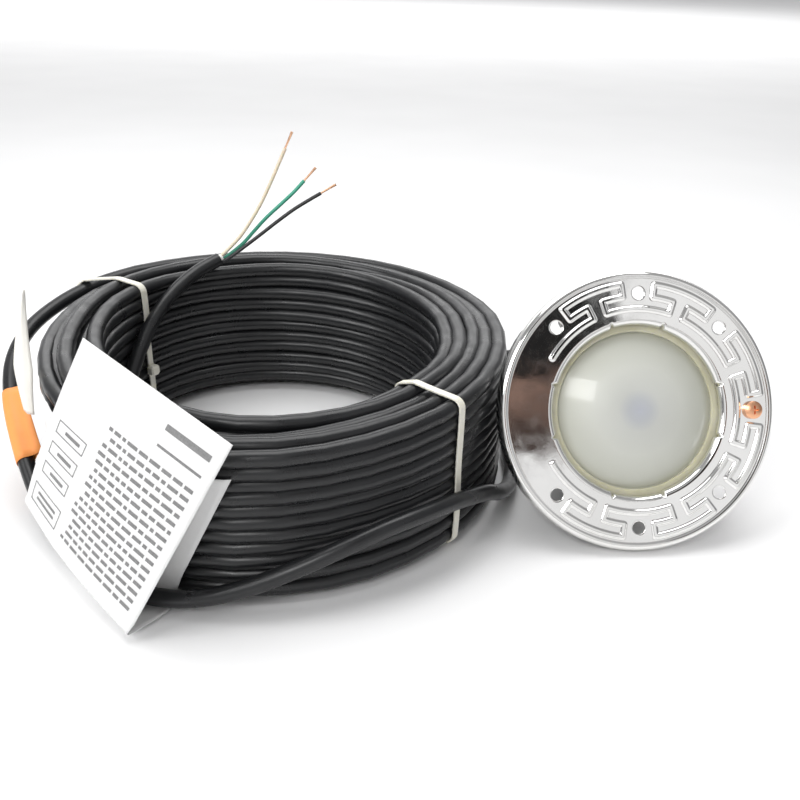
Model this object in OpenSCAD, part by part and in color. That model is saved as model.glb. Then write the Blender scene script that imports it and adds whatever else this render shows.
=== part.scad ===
// Small underwater spa light: stainless face ring, domed glass lens, LED module in a stainless
// can, cable gland, and a long three-core cord that lies coiled beside it.
// Millimetres, +Z up.  The light leans back on the floor, on its face ring and the back of its can.
// The lamp parts are drawn along the lamp's own axis: z = 0 is the flat of the face ring,
// +z points out of the lens, and as_lying() leans the lamp back into the resting pose.

/* [Face ring] */
// Outside diameter of the face ring
ring_d = 165; // [160:1:170]
// Diameter of the ring's round opening
opening_d = 99; // [97:0.5:101]
// Thickness of the stainless sheet
sheet = 1.2; // [1:0.1:1.4]
// Depth of the rolled outer rim
rim_depth = 9; // [8:0.5:11]
// Diameter of the circle that the screw holes lie on
hole_circle_d = 137.4; // [136:0.2:139]
// Diameter of the screw holes
hole_d = 7.2; // [6.8:0.1:7.6]

/* [Can] */
// Outside diameter of the can
can_d = 100; // [98:1:102]
// Depth of the can's back behind the flat of the ring
can_depth = 80; // [78:1:90]
// Outside radius of the can's back corner
can_corner = 6; // [4:0.5:8]

/* [Lens] */
// Radius of the lens's outer face
lens_r = 100; // [98:1:104]
// Thickness of the glass
glass = 3.5; // [3:0.5:4]

/* [Cord] */
// Outside diameter of the cord
cord_d = 9.8; // [9:0.1:10]
// Mean diameter of the coil
coil_d = 261; // [255:1:270]
// Radial width of the coil's section
coil_w = 50; // [48:1:52]
// Height of the coil's section
coil_h = 102; // [96:1:106]
// Diameter of each insulated core
core_d = 2.6; // [2.2:0.1:2.8]

/* [Hidden] */
$fn = 96;
hole_r = hole_d / 2;
hole_at = hole_circle_d / 2;
ring_r = ring_d / 2;
opening_r = opening_d / 2;
can_r = can_d / 2;
wall = 1;
cord_r = cord_d / 2;

// Resting pose: the rim's back edge and the can's round back corner both touch the floor.
corner_out = ring_r - (can_r - can_corner);
corner_back = can_depth - can_corner - rim_depth;
corner_reach = sqrt(pow(corner_out, 2) + pow(corner_back, 2));
lean = atan2(corner_out, corner_back) - asin(can_corner / corner_reach);
lamp_z = ring_r * cos(lean) + rim_depth * sin(lean);
lamp_y = -52;

// Stations along the lamp's axis
lens_seat = -8.2;
lens_back = -12.2;
flange_front = -13;
flange_back = -14.5;
gasket_front = -6;
gasket_back = -16.1;
gasket_r = 57;
band_front = -4.9;
band_back = -17.2;
band_r = 58.6;
board_z = -36.2;
sink_top = -36.7;
sink_back = -41.7;
fin_back = -52;
driver_z = -66;
driver_top = -64.4;
can_floor = -can_depth + wall;
gland_z = -can_depth - 1.5;
entry_start = -can_depth + 10;
nut_back = gland_z - 27.3;
boot_back = -can_depth - 72;

// Screw places
open_holes = [135, 90, 45, -45, -90, -135];
post_angles = [45, 135, 225, 315];
post_at = 36;
screw_r = 3.15;
neck_r = 2.7;
screw_float = 12;
clamp_at = 112.5;
clamp_r = 64;
clamp_z = -11;
clamp_screw_r = 2;
fit = 0.05;

// Embossed key pattern: three tracks of one raised band
key_in = 59.6;
key_mid = 66.9;
key_out = 74.2;
key_w = 3.4;
key_h = 0.9;
key_half = 18.4;
key_gap = 6.2;

// Coil and cord route.  Points round the coil are [angle, radius, height] about its centre.
coil_x = -221.5;
coil_y = 31;
coil_r_in = (coil_d - coil_w) / 2;
coil_r_out = (coil_d + coil_w) / 2;
coil_z0 = 1.6;
coil_round = 8;
lead_behind = [
    [1, 96, 6.5], [5, 112, 5], [12, 132, 5], [18, 150, 5], [16, 172, 5], [2, 190, 5],
    [-20, 198, 5], [-43, 190, 5], [-58, 172, 5], [-63, 150, 5], [-61, 125, 5], [-57, 100, 5],
    [-54, 75, 5], [-53, 52, 5]];
lead_round_coil = [
    [0, 165, 5], [-9, 164.5, 6], [-18, 164.5, 9], [-28, 164.5, 20], [-37, 164.5, 33],
    [-46, 164.5, 41], [-55, 164.5, 44], [-64, 164, 43], [-73, 164, 37], [-82, 164, 28],
    [-91, 164, 18], [-100, 164, 10], [-109, 164, 6], [-118, 164, 8], [-128, 164, 14],
    [-139, 164, 22], [-150, 164, 32], [-162, 164, 43], [-174, 165, 55], [-186, 166, 67],
    [-197, 165, 79], [-208, 162, 88], [-218, 158, 94], [-228, 152.5, 96.5]];
tail_round_coil = [
    [228, 108, 15], [216, 102, 15.5], [204, 98.5, 17], [192, 98, 20], [181, 98, 26],
    [171, 98, 36], [163, 98, 49], [155, 98, 63], [147, 98, 77], [138, 99, 89], [129, 101, 98],
    [120, 104, 105], [111, 107, 110.5]];
core_white_route = [
    [-260.5, 131, 111], [-253.5, 133.5, 117], [-244.5, 136, 126], [-236.5, 138, 137],
    [-228.5, 140, 150], [-221.5, 141.5, 164], [-215.5, 143, 177], [-210.5, 144, 188]];
core_green_route = [
    [-258.5, 132.5, 109], [-251.5, 136, 113.5], [-242.5, 138.5, 120.5], [-234.5, 140.5, 129],
    [-225.5, 142, 138.5], [-215.5, 143.5, 147.5], [-205.5, 145, 156.5], [-197.5, 146, 165]];
core_black_route = [
    [-258.5, 129.5, 108.5], [-250.5, 131, 113], [-240.5, 133, 120], [-229.5, 135, 128],
    [-217.5, 137, 137], [-205.5, 139, 145.5], [-194.5, 141, 152], [-185.5, 142.5, 157]];
tie_angles = [146, -43];
tie_w = 4.8;
tie_t = 1.2;
label_angle = -164;
tag_start = -152;
tag_sweep = 46;

// ---- helpers ----

module as_lying() {
    translate([0, lamp_y, lamp_z]) rotate([90 - lean, 0, 0]) children();
}

module tube(r_out, r_in, z0, z1) {
    translate([0, 0, z0]) difference() {
        cylinder(r = r_out, h = z1 - z0);
        translate([0, 0, -1]) cylinder(r = r_in, h = z1 - z0 + 2);
    }
}

module rod(r, z0, z1) {
    translate([0, 0, z0]) cylinder(r = r, h = z1 - z0);
}

module at_polar(angle, r) {
    rotate([0, 0, angle]) translate([r, 0, 0]) children();
}

function round_coil(p) = [coil_x + p[1] * cos(p[0]), coil_y + p[1] * sin(p[0]), p[2]];

function unit(v) = v / norm(v);

// One point of a Catmull-Rom curve between b and c
function blend(a, b, c, d, t) =
    (2 * b + (c - a) * t + (2 * a - 5 * b + 4 * c - d) * t * t
    + (3 * b - 3 * c + d - a) * t * t * t) / 2;

function smooth_path(p, steps) = concat(
    [for (i = [0 : len(p) - 2], s = [0 : steps - 1])
        blend(p[max(i - 1, 0)], p[i], p[i + 1], p[min(i + 2, len(p) - 1)], s / steps)],
    [p[len(p) - 1]]);

function heading(p, i) = unit(p[min(i + 1, len(p) - 1)] - p[max(i - 1, 0)]);

// A round closed tube along the points of a path
module sweep_tube(path, r, sides, ref = [0, 0, 1]) {
    n = len(path);
    pts = [for (i = [0 : n - 1])
        let (t = heading(path, i), a = unit(cross(t, ref)), b = cross(a, t))
        for (k = [0 : sides - 1])
            path[i] + r * (cos(360 * k / sides) * a + sin(360 * k / sides) * b)];
    skin = [for (i = [0 : n - 2], k = [0 : sides - 1])
        [i * sides + k, i * sides + (k + 1) % sides,
        (i + 1) * sides + (k + 1) % sides, (i + 1) * sides + k]];
    ends = [[for (k = [sides - 1 : -1 : 0]) k], [for (k = [0 : sides - 1]) (n - 1) * sides + k]];
    polyhedron(points = pts, faces = concat(skin, ends), convexity = 6);
}

// ---- face ring ----

module key_arc(r, from, to) {
    rotate([0, 0, from]) rotate_extrude(angle = to - from)
        translate([r - key_w / 2, -0.2]) square([key_w, key_h + 0.2]);
}

module key_bar(angle, r0, r1) {
    rotate([0, 0, angle]) translate([r0 - key_w / 2 - 0.1, -key_w / 2, -0.3])
        cube([r1 - r0 + key_w + 0.2, key_w, key_h + 0.27]);
}

// The band's run round one hole: under it, then back and out on each side that is wanted
module key_round_hole(at, left, right) {
    key_arc(key_in, at - (right ? key_half : 14), at + (left ? key_half : 14));
    if (left) {
        key_bar(at + key_half, key_in, key_mid);
        key_arc(key_mid, at + key_gap + 1.5, at + key_half);
        key_bar(at + key_gap + 1.5, key_mid, key_out);
    }
    if (right) {
        key_bar(at - key_half, key_in, key_mid);
        key_arc(key_mid, at - key_half, at - key_gap - 1.5);
        key_bar(at - key_gap - 1.5, key_mid, key_out);
    }
}

module key_pattern() {
    key_round_hole(135, false, true);
    for (at = [90, 45, 0, -45, -90]) key_round_hole(at, true, true);
    key_round_hole(-135, true, false);
    for (at = [112.5, 67.5, 22.5, -22.5, -67.5, -112.5])
        key_arc(key_out, at - 22.5 + key_gap + 1.5, at + 22.5 - key_gap - 1.5);
}

module face_ring() color("gainsboro") as_lying() {
    bend = 3.5;
    lip_depth = 5;
    difference() {
        union() {
            rotate_extrude() {
                translate([opening_r + 1, -sheet])
                    square([ring_r - bend - opening_r - 1, sheet]);
                translate([ring_r - bend, -bend]) intersection() {
                    difference() {
                        circle(r = bend);
                        circle(r = bend - sheet);
                    }
                    square(bend);
                }
                translate([ring_r - sheet, -rim_depth]) square([sheet, rim_depth - bend]);
                translate([opening_r, -lip_depth]) square([sheet, lip_depth]);
            }
            key_pattern();
        }
        for (a = open_holes) at_polar(a, hole_at) rod(hole_r, -3, 3);
        at_polar(0, hole_at) rod(hole_r, -3, 3);
        for (a = [0, 90, 180, 270], side = [-17, 17])
            rotate([0, 0, a + side]) translate([opening_r - 1, -0.8, -lip_depth - 1])
                cube([1 + sheet + 0.1, 1.6, lip_depth - 1]);
    }
}

module niche_hook() color("silver") as_lying() rotate([0, 0, 180]) {
    translate([63, -8, -sheet - 1]) cube([13, 16, 1]);
    translate([75, -8, -16]) cube([1, 16, 15 - sheet + 0.01]);
    translate([75, -8, -16]) cube([5.6, 16, 1]);
}

module ring_clips() color("silver") as_lying()
    for (a = [67.5, 157.5, 247.5, 337.5]) rotate([0, 0, a]) {
        translate([59, -6, -sheet - 1]) cube([5, 12, 1]);
        translate([59, -6, -18.4]) cube([1, 12, 18.4 - sheet]);
        translate([55, -6, -18.4]) cube([5, 12, 1]);
    }

module pilot_screw() color("peru") as_lying() at_polar(0, hole_at) {
    head_r = 5.25;
    head_h = 3.2;
    difference() {
        union() {
            rod(neck_r, -18.1, 0.1);
            rod(screw_r, -38, -18);
            rod(screw_r - 0.9, -40, -37.9);
            translate([0, 0, fit]) cylinder(r = head_r, h = head_h - 1);
            translate([0, 0, head_h - 1]) rotate_extrude()
                difference() {
                    translate([0, -8.1]) intersection() {
                        circle(r = 9.7);
                        translate([0, 8.1]) square([head_r, 2]);
                    }
                    translate([-20, -20]) square([20, 40]);
                }
        }
        for (a = [0, 90]) rotate([0, 0, a]) translate([-2.6, -0.5, 1.2]) cube([5.2, 1, 4]);
    }
}

module screw_retainer() color("dimgray") as_lying() at_polar(0, hole_at)
    tube(6.5, neck_r + fit, -sheet - screw_float - 3, -sheet - screw_float - 1);

// ---- lens, gasket and clamp ----

module lens() color("lightgray") as_lying() rotate_extrude() {
    intersection() {
        translate([0, 3 - lens_r]) difference() {
            circle(r = lens_r, $fn = 200);
            circle(r = lens_r - glass, $fn = 200);
        }
        translate([0, lens_back]) square([46, 20]);
    }
    translate([44, lens_back]) square([10, lens_seat - lens_back]);
}

module lens_gasket() color("darkkhaki") as_lying() rotate_extrude() {
    polygon([[46.6, gasket_front - 0.2], [46.6, -8.14], [54, lens_seat],
        [54, lens_back], [50, lens_back], [50, flange_front], [54, flange_front],
        [54, flange_back], [51, flange_back], [51, gasket_back], [gasket_r, gasket_back],
        [gasket_r, gasket_front], [47.4, gasket_front]]);
}

module clamp_band() color("silver") as_lying() difference() {
    union() {
        difference() {
            rotate_extrude() polygon([[53, band_front], [band_r, band_front], [band_r, band_back],
                [52, band_back], [52, band_back + 1], [57.4, band_back + 1],
                [57.4, band_front - 1], [53, band_front - 1]]);
            rotate([0, 0, clamp_at]) translate([50, -6.7, -20]) cube([12, 13.4, 20]);
        }
        for (s = [-1, 1]) rotate([0, 0, clamp_at])
            translate([57.9, s * 8.25 - 1.25, band_back + 0.4])
                cube([9.7, 2.5, band_front - band_back - 0.8]);
    }
    rotate([0, 0, clamp_at]) translate([clamp_r, -12, clamp_z]) rotate([-90, 0, 0])
        cylinder(r = 2.3, h = 24);
}

module clamp_barrel(bore) difference() {
    translate([0, 0, -6]) cylinder(r = 4, h = 12);
    translate([0, -6, 0]) rotate([-90, 0, 0]) cylinder(r = bore, h = 12);
}

module clamp_frame() as_lying() rotate([0, 0, clamp_at]) translate([clamp_r, 0, clamp_z])
    children();

module clamp_trunnion() color("goldenrod") clamp_frame() translate([0, -13.6, 0])
    clamp_barrel(clamp_screw_r + fit);

module clamp_nut() color("goldenrod") clamp_frame() translate([0, 13.6, 0])
    clamp_barrel(clamp_screw_r + fit);

module clamp_screw() color("silver") clamp_frame() rotate([-90, 0, 0]) {
    difference() {
        union() {
            rod(clamp_screw_r, -18, 21);
            rod(3.6, -21.5, -17.7);
        }
        translate([0, 0, -22]) cylinder(r = 1.6, h = 2.5, $fn = 6);
    }
}

module can() color("silver") as_lying() difference() {
    rotate_extrude() {
        translate([can_r - wall, flange_back])
            square([54 - can_r + wall, flange_front - flange_back]);
        translate([can_r - wall, -can_depth + can_corner])
            square([wall, can_depth - can_corner + flange_back + 0.5]);
        translate([can_r - can_corner, -can_depth + can_corner]) intersection() {
            difference() {
                circle(r = can_corner);
                circle(r = can_corner - wall);
            }
            translate([0, -can_corner]) square(can_corner);
        }
        translate([0, -can_depth]) square([can_r - can_corner, wall]);
    }
    rod(11.1, -can_depth - 1, -can_depth + 3);
}

// ---- LED module ----

module reflector() color("white") as_lying() rotate_extrude()
    polygon([[16, -33], [47.3, -14.8], [48.7, -14.8], [48.7, -15.8], [47.6, -15.8], [17, -33.9],
        [16, -33.9]]);

module led_optic() color("aliceblue") as_lying() translate([0, 0, -34.6]) rotate_extrude()
    intersection() {
        difference() {
            circle(r = 15);
            circle(r = 13.4);
        }
        square(16);
    }

module led_chips() color("khaki") as_lying() {
    translate([-1.6, -1.6, -34.6]) cube([3.2, 3.2, 0.9]);
    for (a = [0 : 45 : 315]) at_polar(a, 8.5) translate([-1.6, -1.6, -34.6])
        cube([3.2, 3.2, 0.9]);
}

module led_board() color("whitesmoke") as_lying() difference() {
    rod(30, board_z, -34.6);
    for (a = [0 : 90 : 270]) at_polar(a, 26) rod(1.7, board_z - 1, -34);
    for (s = [-1, 1]) translate([22 * s, 12, 0]) rod(1.2, board_z - 1, -34);
}

module thermal_pad() color("lightsteelblue") as_lying() rod(21, sink_top, board_z);

module heat_sink() color("darkgray") as_lying() difference() {
    union() {
        rod(42, sink_back, sink_top);
        rod(12, fin_back, sink_back + 0.1);
        for (i = [0 : 15]) rotate([0, 0, 11.25 + 22.5 * i])
            translate([11, -0.8, fin_back]) cube([30.5, 1.6, sink_back - fin_back + 0.1]);
    }
    for (a = [0 : 90 : 270]) at_polar(a, 26) rod(1.3, sink_back - 1, sink_top + 1);
    for (a = post_angles) at_polar(a, post_at) rod(1.7, sink_back - 1, sink_top + 1);
    for (s = [-1, 1]) translate([22 * s, 12, 0]) rod(1.6, fin_back - 1, sink_top + 1);
}

module small_screw(head_z, tip_z, r, head_r) {
    difference() {
        union() {
            rod(r, tip_z, head_z);
            rod(head_r, head_z, head_z + 1.9);
        }
        for (a = [0, 90]) rotate([0, 0, a])
            translate([-head_r * 0.6, -0.35, head_z + 0.8]) cube([head_r * 1.2, 0.7, 2]);
    }
}

module board_screws() color("silver") as_lying()
    for (a = [0 : 90 : 270]) at_polar(a, 26) small_screw(-34.6, sink_back + 1, 1.25, 2.6);

module chassis_posts() color("silver") as_lying()
    for (a = post_angles) at_polar(a, post_at) difference() {
        union() {
            rod(2.6, driver_z, sink_back);
            rod(4, can_floor, driver_z);
        }
        rod(1.5, sink_back - 9, sink_back + 1);
    }

module chassis_screws() color("silver") as_lying()
    for (a = post_angles) at_polar(a, post_at) small_screw(sink_top, sink_back - 7, 1.45, 2.8);

module driver_board() color("seagreen") as_lying() difference() {
    rod(42, driver_z, driver_top);
    rod(8, driver_z - 1, driver_top + 1);
    for (a = post_angles) at_polar(a, post_at) rod(2.7, driver_z - 1, driver_top + 1);
    for (s = [-1, 1]) translate([22 * s, 12, 0]) rod(1.6, driver_z - 1, driver_top + 1);
}

module transformer() color("goldenrod") as_lying() {
    translate([-34, -17, driver_top]) cube([20, 5, 10.5]);
    translate([-34, -3, driver_top]) cube([20, 5, 10.5]);
    translate([-32, -12.1, driver_top + 1.5]) cube([16, 9.2, 8]);
}

module capacitors() color("darkslateblue") as_lying()
    for (y = [-33, -22]) translate([-9, y, driver_top + 5.1]) rotate([0, 90, 0])
        cylinder(r = 5, h = 18);

module inductor() color("chocolate") as_lying() translate([25, -12, 0])
    tube(7.5, 3.5, driver_top, driver_top + 7);

module terminal_block() color("forestgreen") as_lying() difference() {
    translate([-12, 18, driver_top]) cube([24, 9, 10]);
    for (x = [-8, 0, 8]) {
        translate([x, 17, driver_top + 3]) rotate([-90, 0, 0]) cylinder(r = 1.6, h = 6);
        translate([x, 22.5, driver_top + 6]) cylinder(r = 2.2, h = 5);
    }
}

module fuse() color("gainsboro") as_lying() translate([29, -2, driver_top + 3.4])
    rotate([-90, 0, 0]) {
        cylinder(r = 2.6, h = 20);
        for (z = [0, 15]) translate([0, 0, z]) cylinder(r = 3.2, h = 5);
    }

module thermal_cutout() color("black") as_lying() rod(6, fin_back - 4, fin_back);

// ---- earth and wires ----

module ground_stud() color("goldenrod") as_lying() translate([-34, 0, 0]) {
    rod(2.5, can_floor, -68);
    rod(4.5, can_floor, can_floor + 1.5);
}

module ground_nut() color("goldenrod") as_lying() translate([-34, 0, can_floor + 3]) difference() {
    cylinder(r = 4.6, h = 3.6, $fn = 6);
    translate([0, 0, -1]) cylinder(r = 2.5 + fit, h = 6);
}

module ground_terminal() color("silver") as_lying() translate([-34, 0, can_floor + 1.6]) difference() {
    union() {
        cylinder(r = 4.5, h = 1.2);
        translate([3.5, -2, 0]) cube([8, 4, 1.2]);
    }
    translate([0, 0, -1]) cylinder(r = 2.5 + fit, h = 4);
}

module wire_white() color("ivory") as_lying()
    sweep_tube(smooth_path([[2.4, 0, -69.9], [3, 1, -67], [4.2, 4, -62], [6, 9, -61],
        [7.6, 14, -61.4], [8, 20.5, -61.4]], 2), 1.25, 8, [1, 0, 0]);

module wire_black() color("black") as_lying()
    sweep_tube(smooth_path([[-1, 2.3, -69.9], [-1.2, 3.4, -67], [-1, 5, -62], [-0.6, 9.5, -61],
        [0, 14, -61.4], [0, 20.5, -61.4]], 2), 1.25, 8, [1, 0, 0]);

module wire_green() color("green") as_lying()
    sweep_tube(smooth_path([[-1.8, -1.6, -69.9], [-4, -1.8, -68.3], [-10, -1.4, -67.6],
        [-17, -0.8, -68.6], [-20.5, -0.3, -72], [-22.4, 0, -75]], 2), 1.25, 8, [0, 1, 0]);

module led_wires() color("firebrick") as_lying()
    for (s = [-1, 1]) translate([22 * s, 12, 0]) rod(0.9, driver_top - 1.8, -34.2);

// ---- cable gland ----

module gland_washer() color("dimgray") as_lying() tube(15.5, 11.1, gland_z, -can_depth);

module gland_body() color("darkgoldenrod") as_lying() difference() {
    union() {
        rotate_extrude() {
            translate([0, gland_z - 4]) square([11, entry_start - gland_z + 4]);
            translate([0, gland_z - 21.5]) square([12, 17.5]);
        }
        translate([0, 0, gland_z - 8]) cylinder(r = 16.5, h = 8, $fn = 6);
    }
    rod(cord_r + 0.15, -120, -60);
    rod(8.5, gland_z - 30, gland_z - 12);
}

module gland_locknut() color("darkgoldenrod") as_lying() translate([0, 0, can_floor]) difference() {
    cylinder(r = 16, h = 5, $fn = 6);
    translate([0, 0, -1]) cylinder(r = 11 + fit, h = 7);
}

module gland_seal() color("dimgray") as_lying()
    tube(8.4, cord_r + fit, gland_z - 23, gland_z - 12.1);

module thrust_washer() color("silver") as_lying()
    tube(9.6, cord_r + 0.3, gland_z - 24, gland_z - 23);

module gland_nut() color("darkgoldenrod") as_lying() difference() {
    translate([0, 0, nut_back]) cylinder(r = 18, h = 18, $fn = 6);
    rod(12 + fit, nut_back + 3.2, nut_back + 20);
    rod(7.6, nut_back - 1, nut_back + 5);
}

// The boot's outside radius at the distance d behind the nut
function boot_r(d) = 9.6 - 3.4 * d / (nut_back - boot_back);

// A tapered boot with six bend grooves; its collar is held inside the nut
module strain_relief() color("black") as_lying() rotate_extrude() {
    bore = cord_r + fit;
    start = nut_back - 0.1;
    grooves = [for (i = [1 : 6]) let (d = 6 * i) each [
        [boot_r(d), start - d], [boot_r(d) - 1.3, start - d],
        [boot_r(d + 2.4) - 1.3, start - d - 2.4], [boot_r(d + 2.4), start - d - 2.4]]];
    polygon(concat([[bore, gland_z - 24.1], [7.4, gland_z - 24.1], [7.4, start], [9.6, start]],
        grooves, [[6.2, boot_back], [bore, boot_back]]));
}

module cord_entry() color([0.12, 0.12, 0.13]) as_lying() rod(cord_r, boot_back, entry_start);

// ---- cord ----

function on_axis(z) = [0, lamp_y - z * cos(lean), lamp_z + z * sin(lean)];
lead_points = concat([on_axis(boot_back)], lead_behind,
    [for (p = lead_round_coil) round_coil(p)]);
tail_points = [for (p = tail_round_coil) round_coil(p)];

module cord_lead() color([0.12, 0.12, 0.13])
    sweep_tube(lead_points, cord_r, 12);

module cord_coil() color([0.12, 0.12, 0.13]) translate([coil_x, coil_y, coil_z0])
    rotate_extrude() translate([coil_r_in, 0]) {
        translate([coil_round, 0]) square([coil_w - 2 * coil_round, coil_h]);
        translate([0, coil_round]) square([coil_w, coil_h - 2 * coil_round]);
        for (x = [coil_round, coil_w - coil_round], z = [coil_round, coil_h - coil_round])
            translate([x, z]) circle(r = coil_round);
    }

module cord_tail() color([0.12, 0.12, 0.13])
    sweep_tube(tail_points, cord_r, 12);

// The point d past the last point of the tail, along it
function past_tail(d) =
    tail_points[len(tail_points) - 1] + d * heading(tail_points, len(tail_points) - 1);

module cord_filler() color("white") sweep_tube([past_tail(0), past_tail(2.4)], 3.1, 12);

module core(route) sweep_tube(route, core_d / 2, 8, [0, 1, 0]);

module strands(route) {
    tip = route[len(route) - 1];
    way = heading(route, len(route) - 1);
    sweep_tube([tip, tip + 6 * way, tip + 13 * way + [1, 0, 0]], 0.75, 8, [0, 1, 0]);
}

module core_white() color("antiquewhite") core(core_white_route);
module core_green() color("mediumseagreen") core(core_green_route);
module core_black() color("black") core(core_black_route);
module strands_white() color("peru") strands(core_white_route);
module strands_green() color("peru") strands(core_green_route);
module strands_black() color("peru") strands(core_black_route);

module tie(angle, head_z) {
    w = coil_w + 0.2;
    h = coil_h + 0.2;
    translate([coil_x, coil_y, coil_z0 - 0.1]) rotate([0, 0, angle]) {
        translate([coil_r_in - 0.1, tie_w / 2, 0]) rotate([90, 0, 0]) linear_extrude(tie_w)
            difference() {
                tie_outline(w, h, tie_t);
                tie_outline(w, h, 0);
            }
        translate([coil_r_in - 0.1 - tie_t - 4.5, -4, head_z]) cube([4.6, 8, 7.5]);
    }
}

module tie_outline(w, h, grow) {
    r = coil_round + 0.1 + grow;
    translate([-grow, coil_round]) square([w + 2 * grow, h - 2 * coil_round]);
    translate([coil_round, -grow]) square([w - 2 * coil_round, h + 2 * grow]);
    for (x = [r - grow, w - r + grow], y = [r - grow, h - r + grow])
        translate([x, y]) circle(r = r);
}

module tie_left() color("ivory") tie(tie_angles[0], 38);
module tie_right() color("ivory") tie(tie_angles[1], 70);

// A sheet folded round the cord: one leaf behind it, one in front that leans over the coil
module paper_tag() color("white") translate([coil_x, coil_y, 0]) rotate([0, 0, tag_start])
    rotate_extrude(angle = tag_sweep) polygon([
        [157.4, 96], [157.4, 1.4], [160, 0.4], [168, 0.4], [170, 1.4], [169.6, 60], [166, 96],
        [160, 108], [140, 112], [140, 111.4], [159.6, 107.4], [165.4, 95.8], [169, 60],
        [169.4, 1.8], [167.8, 1], [160.2, 1], [158, 1.8], [158, 96]]);

module along_lead(angle, r, z, climb) {
    translate(round_coil([angle, r, z])) rotate([0, 0, angle]) rotate([90 - climb, 0, 0])
        children();
}

module cord_label() color("darkorange") along_lead(label_angle, 163.8, 45, 19)
    tube(cord_r + 0.9, cord_r + 0.1, -19, 19);

module label_flag() color("white") along_lead(label_angle, 163.8, 45, 0)
    translate([cord_r + 1, 6, -9]) cube([0.6, 72, 18]);

face_ring();
niche_hook();
ring_clips();
pilot_screw();
screw_retainer();
lens();
lens_gasket();
clamp_band();
clamp_trunnion();
clamp_screw();
clamp_nut();
can();
reflector();
led_optic();
led_chips();
led_board();
thermal_pad();
heat_sink();
board_screws();
chassis_posts();
chassis_screws();
driver_board();
transformer();
capacitors();
inductor();
terminal_block();
fuse();
thermal_cutout();
ground_stud();
ground_nut();
ground_terminal();
wire_white();
wire_black();
wire_green();
led_wires();
gland_washer();
gland_body();
gland_locknut();
gland_seal();
thrust_washer();
gland_nut();
strain_relief();
cord_entry();
cord_lead();
cord_coil();
cord_tail();
cord_filler();
core_white();
core_green();
core_black();
strands_white();
strands_green();
strands_black();
tie_left();
tie_right();
paper_tag();
cord_label();
label_flag();
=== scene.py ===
"""Looks of the underwater spa light and its coiled cord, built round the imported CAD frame.
Lengths in comments are millimetres unless they say otherwise; the scene itself is in metres."""

import math
import random

import bpy
import numpy as np
from mathutils import Matrix, Vector, noise


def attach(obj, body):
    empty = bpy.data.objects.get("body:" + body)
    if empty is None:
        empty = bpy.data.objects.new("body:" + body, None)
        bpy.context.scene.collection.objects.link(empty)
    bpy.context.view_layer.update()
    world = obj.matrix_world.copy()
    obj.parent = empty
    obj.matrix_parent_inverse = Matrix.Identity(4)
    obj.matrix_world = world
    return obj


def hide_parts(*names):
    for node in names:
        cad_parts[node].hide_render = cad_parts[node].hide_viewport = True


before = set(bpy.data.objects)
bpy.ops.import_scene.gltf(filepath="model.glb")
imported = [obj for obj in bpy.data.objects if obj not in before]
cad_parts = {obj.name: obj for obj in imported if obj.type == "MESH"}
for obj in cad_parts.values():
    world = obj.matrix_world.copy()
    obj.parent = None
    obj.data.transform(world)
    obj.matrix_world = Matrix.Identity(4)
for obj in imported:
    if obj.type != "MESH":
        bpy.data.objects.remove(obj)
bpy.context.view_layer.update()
MM = 0.001

# ---------------------------------------------------------------- shared dimensions
LEAN = 26.0833  # the lamp's axis over the floor, in degrees
LAMP_Y, LAMP_Z = -52.0, 78.055  # centre of the ring's face
HOLE_AT, HOLE_R = 68.7, 3.6
HOLES = (135, 90, 45, 0, -45, -90, -135)  # the pilot screw is in the one at 0
KEY_IN, KEY_MID, KEY_OUT = 59.6, 66.9, 74.2  # radii of the key pattern's arcs
CORD_R = 4.9
CORE_R = 1.3
COIL_X, COIL_Y = -221.5, 31.0  # centre of the coil
BOOT_BACK = -152.0  # end of the strain relief, along the lamp's axis
CORD_LENGTH = 45.72  # in metres
LYING = Matrix.Translation((0, LAMP_Y * MM, LAMP_Z * MM)) @ Matrix.Rotation(
    math.radians(90 - LEAN), 4, "X") @ Matrix.Scale(MM, 4)


def polar(angle, r, z=0.0):
    a = math.radians(angle)
    return Vector((r * math.cos(a), r * math.sin(a), z))


def round_coil(angle, r, z):
    """A point given round the coil's centre."""
    return Vector((COIL_X, COIL_Y, 0)) + polar(angle, r, z)


def smoothstep(a, b, x):
    t = min(1.0, max(0.0, (x - a) / (b - a)))
    return t * t * (3 - 2 * t)


def bump(x, centre, half):
    """A smooth hump, 1 at the centre and 0 from half on."""
    t = abs(x - centre) / half
    return 0.0 if t >= 1 else (math.cos(math.pi * t) + 1) / 2


def catmull(points, steps):
    """A smooth line through the points."""
    out = []
    n = len(points)
    for i in range(n - 1):
        a, b = points[max(i - 1, 0)], points[i]
        c, d = points[i + 1], points[min(i + 2, n - 1)]
        for s in range(steps):
            t = s / steps
            out.append((2 * b + (c - a) * t + (2 * a - 5 * b + 4 * c - d) * t * t
                        + (3 * b - 3 * c + d - a) * t ** 3) / 2)
    return out + [points[-1]]


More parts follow.
